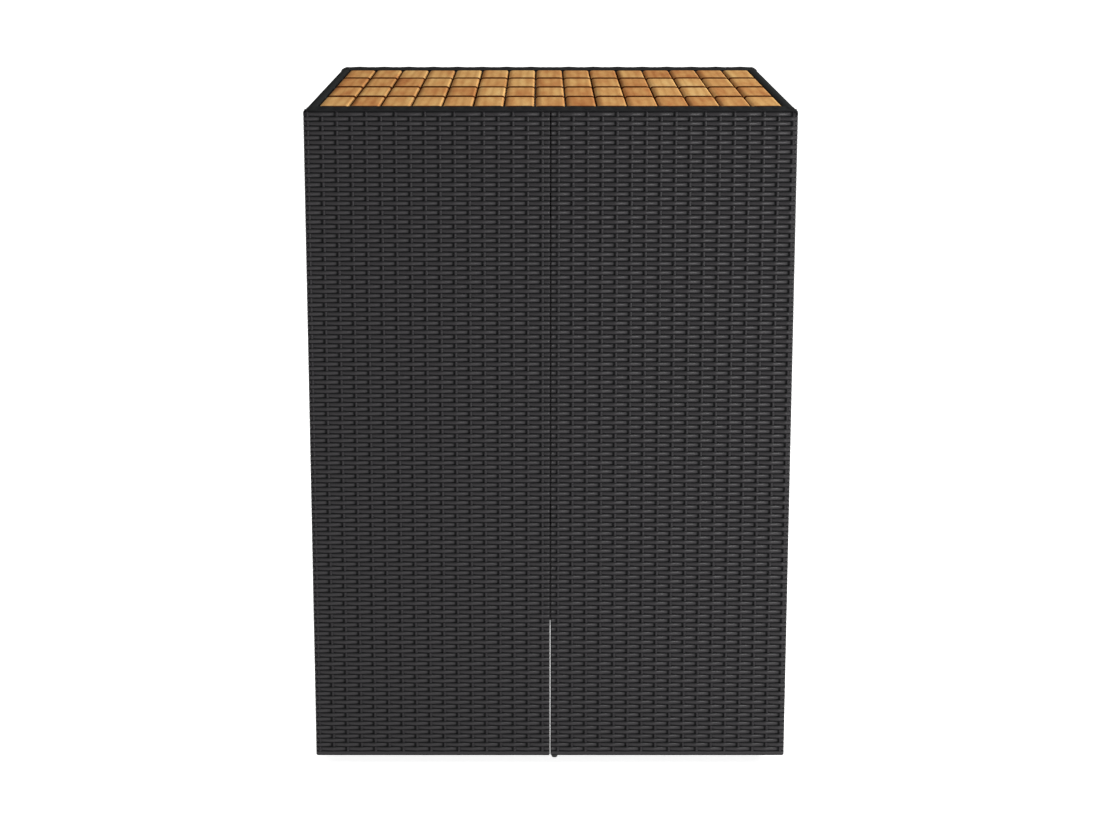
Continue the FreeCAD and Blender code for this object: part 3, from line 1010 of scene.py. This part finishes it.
@dataclass
class Sleeve:
    """A woven sleeve round a box: strand rows about an upright axis, stakes across them, and a capped top."""

    name: str
    node: str
    sizes: WeaveSizes
    long_axis: int
    end_stakes: tuple[int, int]
    stakes: int
    first_stake: float
    seed: float

    def __post_init__(self) -> None:
        """Reads the sleeve's place from its CAD node."""
        self.low, self.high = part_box(self.node)

    def side_stakes(self) -> list[float]:
        """Places of the stakes along a long side."""
        first = self.extent(0)[0] + self.first_stake
        return [first + index * self.sizes.stake_pitch for index in range(self.stakes)]

    def point(self, along: float, across: float, height: float) -> Vector:
        """A point given along the sleeve's long side, across it and up."""
        return Vector((along, across, height) if self.long_axis == 0 else (across, along, height))

    def extent(self, axis: int, inset: float = 0.0) -> Span:
        """The sleeve's two ends along (0), across (1) or up (2), moved inwards by an inset."""
        chosen = axis if self.long_axis == 0 or axis == 2 else 1 - axis
        return self.low[chosen] + inset, self.high[chosen] - inset

    def round_trip(
        self,
        lay: Callable[[Vector], Vector],
        aim: Callable[[Vector], Vector],
        spans: tuple[Span, Span],
        radii: Sequence[float],
        stakes: Sequence[Sequence[Span]],
        wave: float = 0.0,
        shares: Sequence[float] = (),
    ) -> Guide:
        """Draws a line once round a rectangle with rounded corners.

        Args:
            lay: Turns a spot of the rectangle's plane into a point.
            aim: Turns a way in that plane into a direction.
            spans: The rectangle's two extents.
            radii: The corners' radii, from the lowest corner on.
            stakes: The places and waves of each side's stakes, from the side's first corner.
            wave: The wave at the corners.
            shares: Where further points lie between two stakes.

        Returns:
            The line.
        """
        (a0, a1), (b0, b1) = spans
        corners = [Vector(corner) for corner in ((a0, b0), (a1, b0), (a1, b1), (a0, b1), (a0, b0))]
        lengths = (a1 - a0, b1 - b0) * 2
        bends = pairwise((*radii, radii[0]))
        guide = Guide()
        for (start, end), length, (first, bend), passed in zip(pairwise(corners), lengths, bends, stakes):
            way = (end - start).normalized()
            out = Vector((way.y, -way.x))
            knots = [(first, wave), *passed, (length - bend, wave)]
            for distance, level in eased(knots, shares):
                guide.add(lay(start + way * distance), aim(out), level)
            turn = (out + way).normalized()
            guide.add(lay(end - (way + out) * bend + turn * bend), aim(turn), wave)
        return guide

    def row_guide(self) -> Piece:
        """Draws the line of the lowest row, once round the sleeve.

        Returns:
            A helper object.
        """
        sizes = self.sizes
        first, last = (sizes.inset if count else sizes.seam_inset for count in self.end_stakes)
        low, high = (sizes.corner if count else sizes.seam_corner for count in self.end_stakes)
        height = self.extent(2)[0] + sizes.row_pitch / 2
        a0, a1 = self.extent(0)[0] + first, self.extent(0)[1] - last
        c0, c1 = self.extent(1, sizes.inset)
        places = self.side_stakes()
        left, right = (
            by_turns([(c1 - c0) * (index + 1) / (count + 1) for index in range(count)], -1.0)
            for count in self.end_stakes
        )
        front = by_turns([place - a0 for place in places])
        back = by_turns([a1 - place for place in reversed(places)])
        guide = self.round_trip(
            lambda spot: self.point(*spot, height),
            lambda way: self.point(*way, 0.0),
            ((a0, a1), (c0, c1)),
            (low, high, high, low),
            (front, right, back, left),
            shares=sizes.knees,
        )
        return guide.to_object(self.name + "_row_guide", closed=True)

    def stake_guide(self) -> Piece:
        """Draws the line of the first stake, once round the sleeve's long sides, top and bottom.

        Returns:
            A helper object.
        """
        sizes = self.sizes
        depth = sizes.inset + sizes.stake_depth
        along = self.side_stakes()[0] + sizes.stake_lean
        guide = self.round_trip(
            lambda spot: self.point(along, *spot),
            lambda way: self.point(0.0, *way),
            (self.extent(1, depth), self.extent(2, depth)),
            [sizes.corner] * 4,
            [()] * 4,
            STAKE_WAVE,
        )
        return guide.to_object(self.name + "_stake_guide", closed=True)

    def cap_run(self) -> tuple[int, float]:
        """Spaces the strands that lie side by side on the top.

        Returns:
            How many there are, and how far apart they lie.
        """
        first, last = self.extent(0 if self.sizes.binding else 1)
        count = round((last - first) / self.sizes.cap_width)
        return count, (last - first - self.sizes.cap_width) / (count - 1)

    def cap_guide(self) -> Piece:
        """Draws the line of the first strand on the top, tucked down at the wall's outer end.

        Returns:
            A helper object.
        """
        sizes = self.sizes
        a0, a1 = self.extent(0)
        across = self.extent(1)[0] + sizes.cap_width / 2
        level = self.extent(2)[1] - sizes.cap_swing - sizes.cap_thickness / 2
        tuck = sizes.cap_inset + sizes.corner
        starts, ends = (tuck if count else -sizes.seam_reach for count in self.end_stakes)
        knots = [(a0 + starts, 0.0), *by_turns(self.side_stakes()), (a1 - ends, 0.0)]
        left = self.point(-1.0, 0.0, 0.0)
        drops = (level - 2 * sizes.corner, level - sizes.corner)
        guide = Guide()
        for height in drops if starts > 0 else ():
            guide.add(self.point(a0 + sizes.cap_inset, across, height), left)
        for along, wave in eased(knots, sizes.knees):
            guide.add(self.point(along, across, level), Vector((0.0, 0.0, 1.0)), wave)
        for height in reversed(drops) if ends > 0 else ():
            guide.add(self.point(a1 - sizes.cap_inset, across, height), -left)
        return guide.to_object(self.name + "_cap_guide")

    def binding_guide(self) -> Piece:
        """Draws the line of the first strand bound over the top edge, from the outer face to the inner one.

        Returns:
            A helper object.
        """
        sizes = self.sizes
        depth = sizes.cap_thickness / 2
        c0, c1 = self.extent(1, depth)
        top = self.extent(2, depth)[1]
        along = self.extent(0)[0] + sizes.cap_width / 2
        bend = sizes.corner
        slant = bend * (1 - math.sqrt(0.5))
        guide = Guide()
        for edge, sign in ((c0, -1.0), (c1, 1.0)):
            spots = [
                (edge - sign * bend, top, 0.0, 1.0),
                (edge - sign * slant, top - slant, sign, 1.0),
                (edge, top - bend, sign, 0.0),
                (edge, top - sizes.binding, sign, 0.0),
            ]
            for across, height, out, up in spots if sign > 0 else reversed(spots):
                guide.add(self.point(along, across, height), self.point(0.0, out, up))
        return guide.to_object(self.name + "_binding_guide")

    def post_guide(self) -> Piece:
        """Draws an upright line at the middle of the outer short side.

        Returns:
            A helper object.
        """
        a0, a1 = self.extent(0, self.sizes.inset)
        outer, sign = (a1, 1.0) if abs(a1) > abs(a0) else (a0, -1.0)
        guide = Guide()
        for height in self.extent(2, self.sizes.inset):
            spot = self.point(outer, sum(self.extent(1)) / 2, height)
            guide.add(spot, self.point(sign, 0.0, 0.0), STAKE_WAVE)
        return guide.to_object(self.name + "_post_guide")

    def shade_sheets(self) -> Mesh:
        """Makes thin dark sheets of painted shade behind the strands of both long sides, standing for the
        dark inside of the wall, so that no light passes through.

        Returns:
            The sheets' mesh, which is empty where the sheets have no thickness.
        """
        sizes = self.sizes
        form = bmesh.new()
        spans = [self.extent(axis, sizes.shade_sheet_margin) for axis in (0, 2)]
        long, tall = (high - low for low, high in spans)
        along, up = (sum(span) / 2 for span in spans)
        depth = sizes.shade_sheet_depth + sizes.shade_sheet_thickness / 2
        for across in self.extent(1, depth) if sizes.shade_sheet_thickness else ():
            sheet = bmesh.ops.create_cube(form, size=1.0)["verts"]
            bmesh.ops.scale(form, vec=self.point(long, sizes.shade_sheet_thickness, tall), verts=sheet)
            bmesh.ops.translate(form, vec=self.point(along, across, up), verts=sheet)
        return meshed(form, self.name + "_shade_sheets")

    def build(self, tree: Tree, palette: Palette) -> Piece:
        """Weaves the sleeve and sets it in its CAD node's place.

        Args:
            tree: The sleeve tree.
            palette: The table's materials.

        Returns:
            The finished piece.
        """
        sizes = self.sizes
        cap_guide = self.binding_guide() if sizes.binding else self.cap_guide()
        guides = [self.row_guide(), self.stake_guide(), cap_guide, self.post_guide()]
        bottom, top = self.extent(2)
        woven = top - bottom - sizes.bare_top
        rows = round(woven / sizes.row_pitch)
        caps, cap_step = self.cap_run()
        cap_way = (cap_step, 0.0, 0.0) if sizes.binding else (0.0, cap_step, 0.0)
        counts = (rows, self.stakes, caps, 1 if any(self.end_stakes) else 0)
        steps = (
            Vector((0.0, 0.0, (woven - sizes.row_pitch) / (rows - 1))),
            self.point(sizes.stake_pitch, 0.0, 0.0),
            self.point(*cap_way),
            Vector((0.0, 0.0, 1.0)),
        )
        stake = (0.0, 0.0, ROUND_SIDES, sizes.stake_width, sizes.stake_thickness)
        forms = (
            (sizes.swing, 1.0, FLAT_SIDES, sizes.strand_width, sizes.strand_thickness),
            stake,
            (sizes.cap_swing, 1.0, ROUND_SIDES, sizes.cap_width, sizes.cap_thickness),
            stake,
        )
        inputs: dict[str, Value] = {"Wander": sizes.wander, "Seed": self.seed}
        inputs |= {"Finish": palette.wicker, "Matte finish": palette.matte}
        labels = ("guide", "count", "step", "swing", "alternate", "sides", "width", "thickness")
        for part, guide, count, step, form in zip(PARTS, guides, counts, steps, forms):
            for label, value in zip(labels, (guide, count, tuple(step), *form)):
                inputs[f"{part} {label}"] = value
        piece = grown(self.name, self.shade_sheets(), tree, inputs)
        removed(*guides)
        closed_outwards(piece.data)
        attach(piece, TABLE_BODY)
        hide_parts(self.node)
        return piece


def table_sleeves() -> list[Sleeve]:
    """Lists the four half panels and the two aprons.

    Returns:
        The sleeves in building order.
    """
    wall_stakes, apron_stakes = 17, 27
    apron_first, seed_step, apron_seed = 30.5 * MM, 3.7, 20.0
    wall = WeaveSizes()
    apron = WeaveSizes(
        strand_thickness=1.2 * MM,
        stake_thickness=1.6 * MM,
        stake_depth=0.3 * MM,
        swing=1.0 * MM,
        cap_width=6.2 * MM,
        cap_thickness=2.2 * MM,
        cap_swing=0.0,
        inset=1.7 * MM,
        seam_inset=1.7 * MM,
        corner=3.0 * MM,
        seam_corner=3.0 * MM,
        bare_top=8.0 * MM,
        shade_sheet_thickness=0.0,
        binding=8.0 * MM,
    )
    halves = {
        "front_left": 6.6 * MM,
        "front_right": 10.4 * MM,
        "rear_left": 10.4 * MM,
        "rear_right": 14.25 * MM,
    }
    sleeves = []
    for index, (name, first) in enumerate(halves.items()):
        ends = (1, 0) if name.endswith("left") else (0, 1)
        form = (wall, 0, ends, wall_stakes, first, seed_step * index)
        sleeves.append(Sleeve(name + "_wicker", name + "_weave", *form))
    for index, name in enumerate(("left_apron", "right_apron")):
        form = (apron, 1, (0, 0), apron_stakes, apron_first, apron_seed + seed_step * index)
        sleeves.append(Sleeve(name + "_wicker", name + "_weave", *form))
    return sleeves


# Slatted top


@dataclass
class SlatRow:
    """One row of short slats, laid side by side with open joints."""

    number: int
    gap: float = 2.0 * MM
    edge: float = 4.0 * MM
    edge_steps: int = 3
    settle: float = 0.4 * MM
    left_reach: float = 11.0 * MM
    left_drop: float = 0.5 * MM
    # How strong the painted shade along each slat's left edge is, the side away from the light.
    left_shade: float = 0.55
    right_reach: float = 8.0 * MM
    right_drop: float = 0.3 * MM
    lit_depth: float = 2.5 * MM
    lit_edge: float = 1.5 * MM
    end_trim: float = 2.8 * MM
    end_reach: float = 10.0 * MM
    end_drop: float = 0.6 * MM
    crown_steps: int = 4
    seed_start: int = 4
    seed_step: int = 11

    def __post_init__(self) -> None:
        """Reads the row's place from its CAD node."""
        self.node = f"row_{self.number}_slats"
        self.low, self.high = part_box(self.node)
        self.width = (self.high.x - self.low.x - (SLAT_COUNT - 1) * self.gap) / SLAT_COUNT

    def shade_at(self, spot: Vector, size: Vector) -> float:
        """How much painted shade a point of a slat takes.

        Args:
            spot: The point, from the slat's heart.
            size: The slat's size.

        Returns:
            One on the ends, where end grain meets the row joint's painted shade, and low on the sides in the
            joints' painted shade, with a weaker painted shade along the left edge, the side away from the
            light.
        """
        end = (abs(spot.y) - (size.y / 2 - self.end_reach)) / self.edge
        low = (size.z / 2 - self.lit_depth - spot.z) / self.lit_edge
        left = (self.left_reach - size.x / 2 - spot.x) / self.left_reach
        return max(0.0, min(1.0, max(end, low, self.left_shade * left)))

    def pattern(self) -> Piece:
        """Makes one slat with rounded edges, its heart at the origin, marked with painted shade at its ends,
        low on its sides and along its left edge.

        Returns:
            A helper object.
        """
        size = self.high - self.low
        size = Vector((self.width, size.y - 2 * self.end_trim, size.z))
        form = bmesh.new()
        bmesh.ops.create_cube(form, size=1.0)
        bmesh.ops.scale(form, vec=size, verts=form.verts)
        lying = [edge for edge in form.edges if edge.verts[0].co.z == edge.verts[1].co.z]
        bmesh.ops.bevel(
            form, geom=lying, offset=self.edge, segments=self.edge_steps, profile=0.5, affect="EDGES"
        )
        crowns = (
            (Vector((-1.0, 0.0, 0.0)), size.x / 2, self.left_reach, self.left_drop),
            (Vector((1.0, 0.0, 0.0)), size.x / 2, self.right_reach, self.right_drop),
            (Vector((0.0, -1.0, 0.0)), size.y / 2, self.end_reach, self.end_drop),
            (Vector((0.0, 1.0, 0.0)), size.y / 2, self.end_reach, self.end_drop),
        )
        for way, half, reach, _ in crowns:
            for step in range(1, self.crown_steps + 1):
                cut = way * (half - self.edge - (reach - self.edge) * step / self.crown_steps)
                geometry = [*form.verts, *form.edges, *form.faces]
                bmesh.ops.bisect_plane(form, geom=geometry, plane_co=cut, plane_no=way)
        for vertex in form.verts:
            for way, half, reach, drop in crowns if vertex.co.z > 0.0 else ():
                fall = max(0.0, vertex.co.dot(way) - (half - reach)) / reach
                vertex.co.z -= drop * fall ** 2
        for face in form.faces:
            face.smooth = True
        mesh = meshed(form, "slat_pattern")
        keep_layer(mesh, Plank.EDGE_SHADE, [self.shade_at(vertex.co, size) for vertex in mesh.vertices])
        return linked("slat_pattern", mesh)

    def build(self, tree: Tree, palette: Palette) -> Piece:
        """Lays the row and sets it in its CAD node's place.

        Args:
            tree: The slat tree.
            palette: The table's materials.

        Returns:
            The finished piece.
        """
        heart = (self.low + self.high) / 2
        pattern = self.pattern()
        inputs = {
            "Pattern": pattern,
            "Count": SLAT_COUNT,
            "First": (self.low.x + self.width / 2, heart.y, heart.z),
            "Step": (self.width + self.gap, 0.0, 0.0),
            "Settle": self.settle,
            "Seed": self.seed_step * self.number + self.seed_start,
            "Finish": palette.acacia,
        }
        piece = grown(f"acacia_row_{self.number}", bpy.data.meshes.new("row_base"), tree, inputs)
        removed(pattern)
        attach(piece, TABLE_BODY)
        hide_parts(self.node)
        return piece


@dataclass
class BattenScrews:
    """The pan head screws that hold every slat to its two battens, seen from below."""

    batten_width: float = 30.0 * MM
    head_radius: float = 4.0 * MM
    head_height: float = 2.2 * MM
    head_sides: int = 16
    dome: tuple[Span, ...] = ((1.0, 0.0), (1.0, 0.35), (0.86, 0.72), (0.62, 0.92))
    recess_arms: tuple[float, ...] = (0.5, 0.5, 0.16, 0.16)
    recess_floor: float = 0.3
    stagger: float = 7.0 * MM
    seed: int = 5

    def pattern(self) -> Piece:
        """Makes one domed head with a cross recess, hanging down from the origin.

        Returns:
            A helper object.
        """
        form = bmesh.new()
        sides = range(self.head_sides)
        star = [self.recess_arms[index % len(self.recess_arms)] for index in sides]
        outlines = [([share] * self.head_sides, drop) for share, drop in self.dome] + [(star, 1.0)]
        rings = []
        for shares, drop in outlines:
            heart = Vector((0.0, 0.0, -self.head_height * drop))
            rings.append(ring(form, [self.head_radius * share for share in shares], heart))
        skin(form, rings, smooth=False)
        floor = form.verts.new((0.0, 0.0, -self.head_height * self.recess_floor))
        for index in sides:
            form.faces.new((rings[-1][index], rings[-1][(index + 1) % self.head_sides], floor))
        form.faces.new(rings[0])
        bmesh.ops.recalc_face_normals(form, faces=form.faces)
        return linked("screw_pattern", meshed(form, "screw_pattern"))

    def layout(self) -> Mesh:
        """Sets one point for each screw, on the battens' undersides.

        Returns:
            A mesh of points.
        """
        points = []
        for number in range(1, ROW_COUNT + 1):
            low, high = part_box(f"row_{number}_battens")
            slat_low, slat_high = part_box(f"row_{number}_slats")
            pitch = (slat_high.x - slat_low.x) / SLAT_COUNT
            for middle in (low.y + self.batten_width / 2, high.y - self.batten_width / 2):
                for index in range(SLAT_COUNT):
                    side = self.stagger if index % 2 else -self.stagger
                    points.append((slat_low.x + pitch * (index + 0.5), middle + side, low.z))
        mesh = bpy.data.meshes.new("screw_layout")
        mesh.from_pydata(points, [], [])
        return mesh

    def build(self, tree: Tree, palette: Palette) -> Piece:
        """Drives all the screws.

        Args:
            tree: The screw tree.
            palette: The table's materials.

        Returns:
            The finished piece.
        """
        pattern = self.pattern()
        inputs = {"Pattern": pattern, "Seed": self.seed, "Finish": palette.zinc}
        piece = grown("batten_screws", self.layout(), tree, inputs)
        removed(pattern)
        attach(piece, TABLE_BODY)
        return piece


# Levelling feet


def lathe(
    name: str, sides: int, heights: Sequence[float], radius: Callable[[float, float], float], heart: Vector
) -> Mesh:
    """Turns a closed upright form from a radius rule.

    Args:
        name: The mesh's name.
        sides: How many points go round.
        heights: The heights of its rings, from low to high.
        radius: Gives the radius at an angle and a height.
        heart: A point on the axis; its height is left out.

    Returns:
        The closed mesh.
    """
    form = bmesh.new()
    rings = []
    for height in heights:
        radii = [radius(math.tau * index / sides, height) for index in range(sides)]
        rings.append(ring(form, radii, Vector((heart.x, heart.y, height))))
    skin(form, rings, smooth=True)
    form.faces.new(rings[0])
    form.faces.new(rings[-1])
    bmesh.ops.recalc_face_normals(form, faces=form.faces)
    return meshed(form, name)


@dataclass
class LevellingFoot:
    """One screw foot: a hexagonal plastic cap with a rounded sole, on a threaded stud."""

    number: int
    sole_round: float = 0.9 * MM
    sole_steps: int = 5
    sole_sides: int = 48
    top_edge: float = 0.5 * MM
    corner_share: float = 0.975
    thread_pitch: float = 0.8 * MM
    thread_depth: float = 0.45 * MM
    thread_sides: int = 20
    steps_per_pitch: int = 4

    @property
    def body(self) -> str:
        """The CAD body that the foot moves with."""
        return f"foot_{self.number}"

    def cap(self, palette: Palette) -> Piece:
        """Makes the cap in its CAD node's place.

        Args:
            palette: The table's materials.

        Returns:
            The finished piece.
        """
        node = f"{self.body}_pad"
        low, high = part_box(node)
        half = (high - low) / 2
        flat, reach = min(half.x, half.y), max(half.x, half.y)
        facet = math.pi / 3
        turned = 0.0 if half.x > half.y else facet / 2

        def radius(angle: float, height: float) -> float:
            """A softened hexagon that shrinks over the rounded sole and the top edge.

            Args:
                angle: The direction from the axis.
                height: How high up.

            Returns:
                The cap's radius there.
            """
            off = (angle - turned + facet / 2) % facet - facet / 2
            side = min(flat / math.cos(abs(off) - facet / 2), reach * self.corner_share)
            below = max(0.0, self.sole_round - (height - low.z))
            above = max(0.0, self.top_edge - (high.z - height))
            return side - (self.sole_round - math.sqrt(self.sole_round ** 2 - below ** 2)) - above

        turns = [math.pi / 2 * index / self.sole_steps for index in range(self.sole_steps + 1)]
        heights = [low.z + self.sole_round * (1 - math.cos(turn)) for turn in turns]
        heights += [high.z - self.top_edge, high.z]
        mesh = lathe("foot_cap", self.sole_sides, heights, radius, (low + high) / 2)
        piece = linked(f"foot_cap_{self.number}", mesh)
        piece.data.materials.append(palette.plastic)
        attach(piece, self.body)
        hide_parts(node)
        return piece

    def stud(self, palette: Palette) -> Piece:
        """Makes the threaded stud in its CAD node's place.

        Args:
            palette: The table's materials.

        Returns:
            The finished piece.
        """
        node = f"{self.body}_stud"
        low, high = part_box(node)
        outer = (high.x - low.x) / 2
        tall = high.z - low.z

        def radius(angle: float, height: float) -> float:
            """A thread that climbs one pitch each turn."""
            phase = (height / self.thread_pitch - angle / math.tau) % 1.0
            return outer - self.thread_depth * abs(2 * phase - 1)

        count = round(tall / self.thread_pitch * self.steps_per_pitch)
        heights = [low.z + tall * index / count for index in range(count + 1)]
        mesh = lathe("foot_stud", self.thread_sides, heights, radius, (low + high) / 2)
        piece = linked(f"foot_stud_{self.number}", mesh)
        piece.data.materials.append(palette.zinc)
        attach(piece, self.body)
        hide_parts(node)
        return piece


# Carried-over pieces


@dataclass(frozen=True)
class CarriedOver:
    """The CAD pieces that stay as they are and only get a finish, by words in their names."""

    steel: tuple[str, ...] = ("frame", "bearer", "ledge", "corner_brackets", "seam_plates")
    zinc: tuple[str, ...] = ("bolts",)
    batten: tuple[str, ...] = ("battens",)
    plastic: tuple[str, ...] = ("foot_plugs",)

    def dress(self, palette: Palette) -> int:
        """Gives each carried-over node its material.

        Args:
            palette: The table's materials.

        Returns:
            How many nodes were dressed.
        """
        finishes = (
            (self.steel, palette.steel),
            (self.zinc, palette.zinc),
            (self.batten, palette.batten),
            (self.plastic, palette.plastic),
        )
        dressed = 0
        for name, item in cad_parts.items():
            for words, material in finishes:
                if any(word in name for word in words):
                    item.data.materials.clear()
                    item.data.materials.append(material)
                    dressed += 1
                    break
        return dressed


# Studio


def seen_rays(graph: Graph) -> Socket:
    """One on rays that show a surface to the camera: straight, mirrored or through glass."""
    path = graph.node("ShaderNodeLightPath", {}).outputs
    return graph.most(graph.most(path["Is Camera Ray"], path["Is Glossy Ray"]), path["Is Transmission Ray"])


@dataclass(frozen=True)
class Lamp:
    """One soft panel lamp, aimed at a point."""

    name: str
    place: Triple
    target: Triple
    width: float
    height: float
    watts: float

    def hang(self) -> None:
        """Adds the lamp to the scene."""
        light = bpy.data.lights.new(self.name, "AREA")
        light.shape = "RECTANGLE"
        light.size = self.width
        light.size_y = self.height
        light.energy = self.watts
        item = linked(self.name, light)
        item.location = self.place
        way = Vector(self.target) - Vector(self.place)
        item.rotation_euler = way.to_track_quat("-Z", "Y").to_euler()


@dataclass(frozen=True)
class Studio:
    """A pale floor, a white surround, soft lamps and the photograph's camera."""

    floor_half: float = 30.0
    floor_tone: float = 0.86
    floor_shade: float = 0.99
    floor_patches: float = 0.6
    floor_rough: float = 0.9
    floor_shine: float = 0.1
    floor_glow: float = 0.86
    foot_travel: float = 12.0 * MM
    surround: float = 0.5
    lens: float = 77.39
    sensor: float = 36.0
    camera_place: Triple = (-0.0153, -4.2, 1.504)
    camera_pitch: float = 11.949
    shift: Span = (0.0081, -0.050)
    lamps: tuple[Lamp, ...] = (
        Lamp("right_key", (3.4, -0.9, 1.75), (0.0, -0.1, 0.9), 1.2, 0.8, 170.0),
        Lamp("overhead", (0.7, -0.3, 3.4), (0.0, 0.0, 1.1), 1.6, 1.6, 15.0),
        Lamp("sheen_panel", (2.5, -6.0, 0.55), (0.0, -0.4, 0.6), 1.0, 1.0, 84.0),
    )

    def floor(self) -> Piece:
        """Lays the pale floor, which keeps the table's shadow, as low as the feet reach when wound out.

        Returns:
            Nothing: the call that marks the floor as backdrop gives nothing back.
        """
        half = self.floor_half
        mesh = bpy.data.meshes.new("floor")
        outline = ((-half, -half), (half, -half), (half, half), (-half, half))
        mesh.from_pydata([(*corner, -self.foot_travel) for corner in outline], [], [(0, 1, 2, 3)])
        material, graph, shader = new_material("pale_floor")
        tones = [(tone, tone, tone, 1.0) for tone in (self.floor_tone, self.floor_tone * self.floor_shade)]
        shade = graph.mix(graph.noise(object_place(graph), self.floor_patches), *tones)
        graph.link(shade, shader.inputs["Base Color"])
        shader.inputs["Roughness"].default_value = self.floor_rough
        shader.inputs["Specular IOR Level"].default_value = self.floor_shine
        shader.inputs["Emission Color"].default_value = WHITE
        graph.link(graph.times(seen_rays(graph), self.floor_glow), shader.inputs["Emission Strength"])
        mesh.materials.append(material)
        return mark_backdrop(linked("floor", mesh))

    def world(self) -> None:
        """Sets a white surround that lights the table evenly and softly."""
        world = bpy.data.worlds.new("studio_surround")
        world.use_nodes = True
        bpy.context.scene.world = world
        graph = Graph(world.node_tree)
        back = world.node_tree.nodes["Background"]
        back.inputs["Color"].default_value = WHITE
        strength = graph.spread(seen_rays(graph), FULL, (self.surround, 1.0))
        graph.link(strength, back.inputs["Strength"])

    def camera(self) -> None:
        """Sets the camera at the photograph's viewing angle."""
        data = bpy.data.cameras.new("camera")
        data.lens = self.lens
        data.sensor_width = self.sensor
        data.shift_x, data.shift_y = self.shift
        item = linked("camera", data)
        item.location = self.camera_place
        item.rotation_euler = (math.radians(90 - self.camera_pitch), 0.0, 0.0)
        bpy.context.scene.camera = item

    def build(self) -> None:
        """Sets up floor, surround, lamps, camera and plain colour."""
        self.floor()
        self.world()
        for lamp in self.lamps:
            lamp.hang()
        self.camera()
        bpy.context.scene.view_settings.view_transform = "Standard"


def main() -> None:
    """Builds every piece of the table and its studio, in order."""
    logging.basicConfig(level=logging.INFO, format="%(message)s")
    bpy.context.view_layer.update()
    palette = Palette.mixed()
    Studio().build()
    log.info("dressed %d carried-over pieces", CarriedOver().dress(palette))
    weave = sleeve_tree(StrandForm().group())
    rows = slat_tree()
    pieces = [sleeve.build(weave, palette) for sleeve in table_sleeves()]
    pieces += [SlatRow(number).build(rows, palette) for number in range(1, ROW_COUNT + 1)]
    pieces.append(BattenScrews().build(screw_tree(), palette))
    for number in range(1, FOOT_COUNT + 1):
        foot = LevellingFoot(number)
        pieces += [foot.cap(palette), foot.stud(palette)]
    for piece in pieces:
        piece.data.calc_loop_triangles()
        log.info("%s: %d triangles", piece.name, len(piece.data.loop_triangles))


if __name__ == "__main__":
    main()
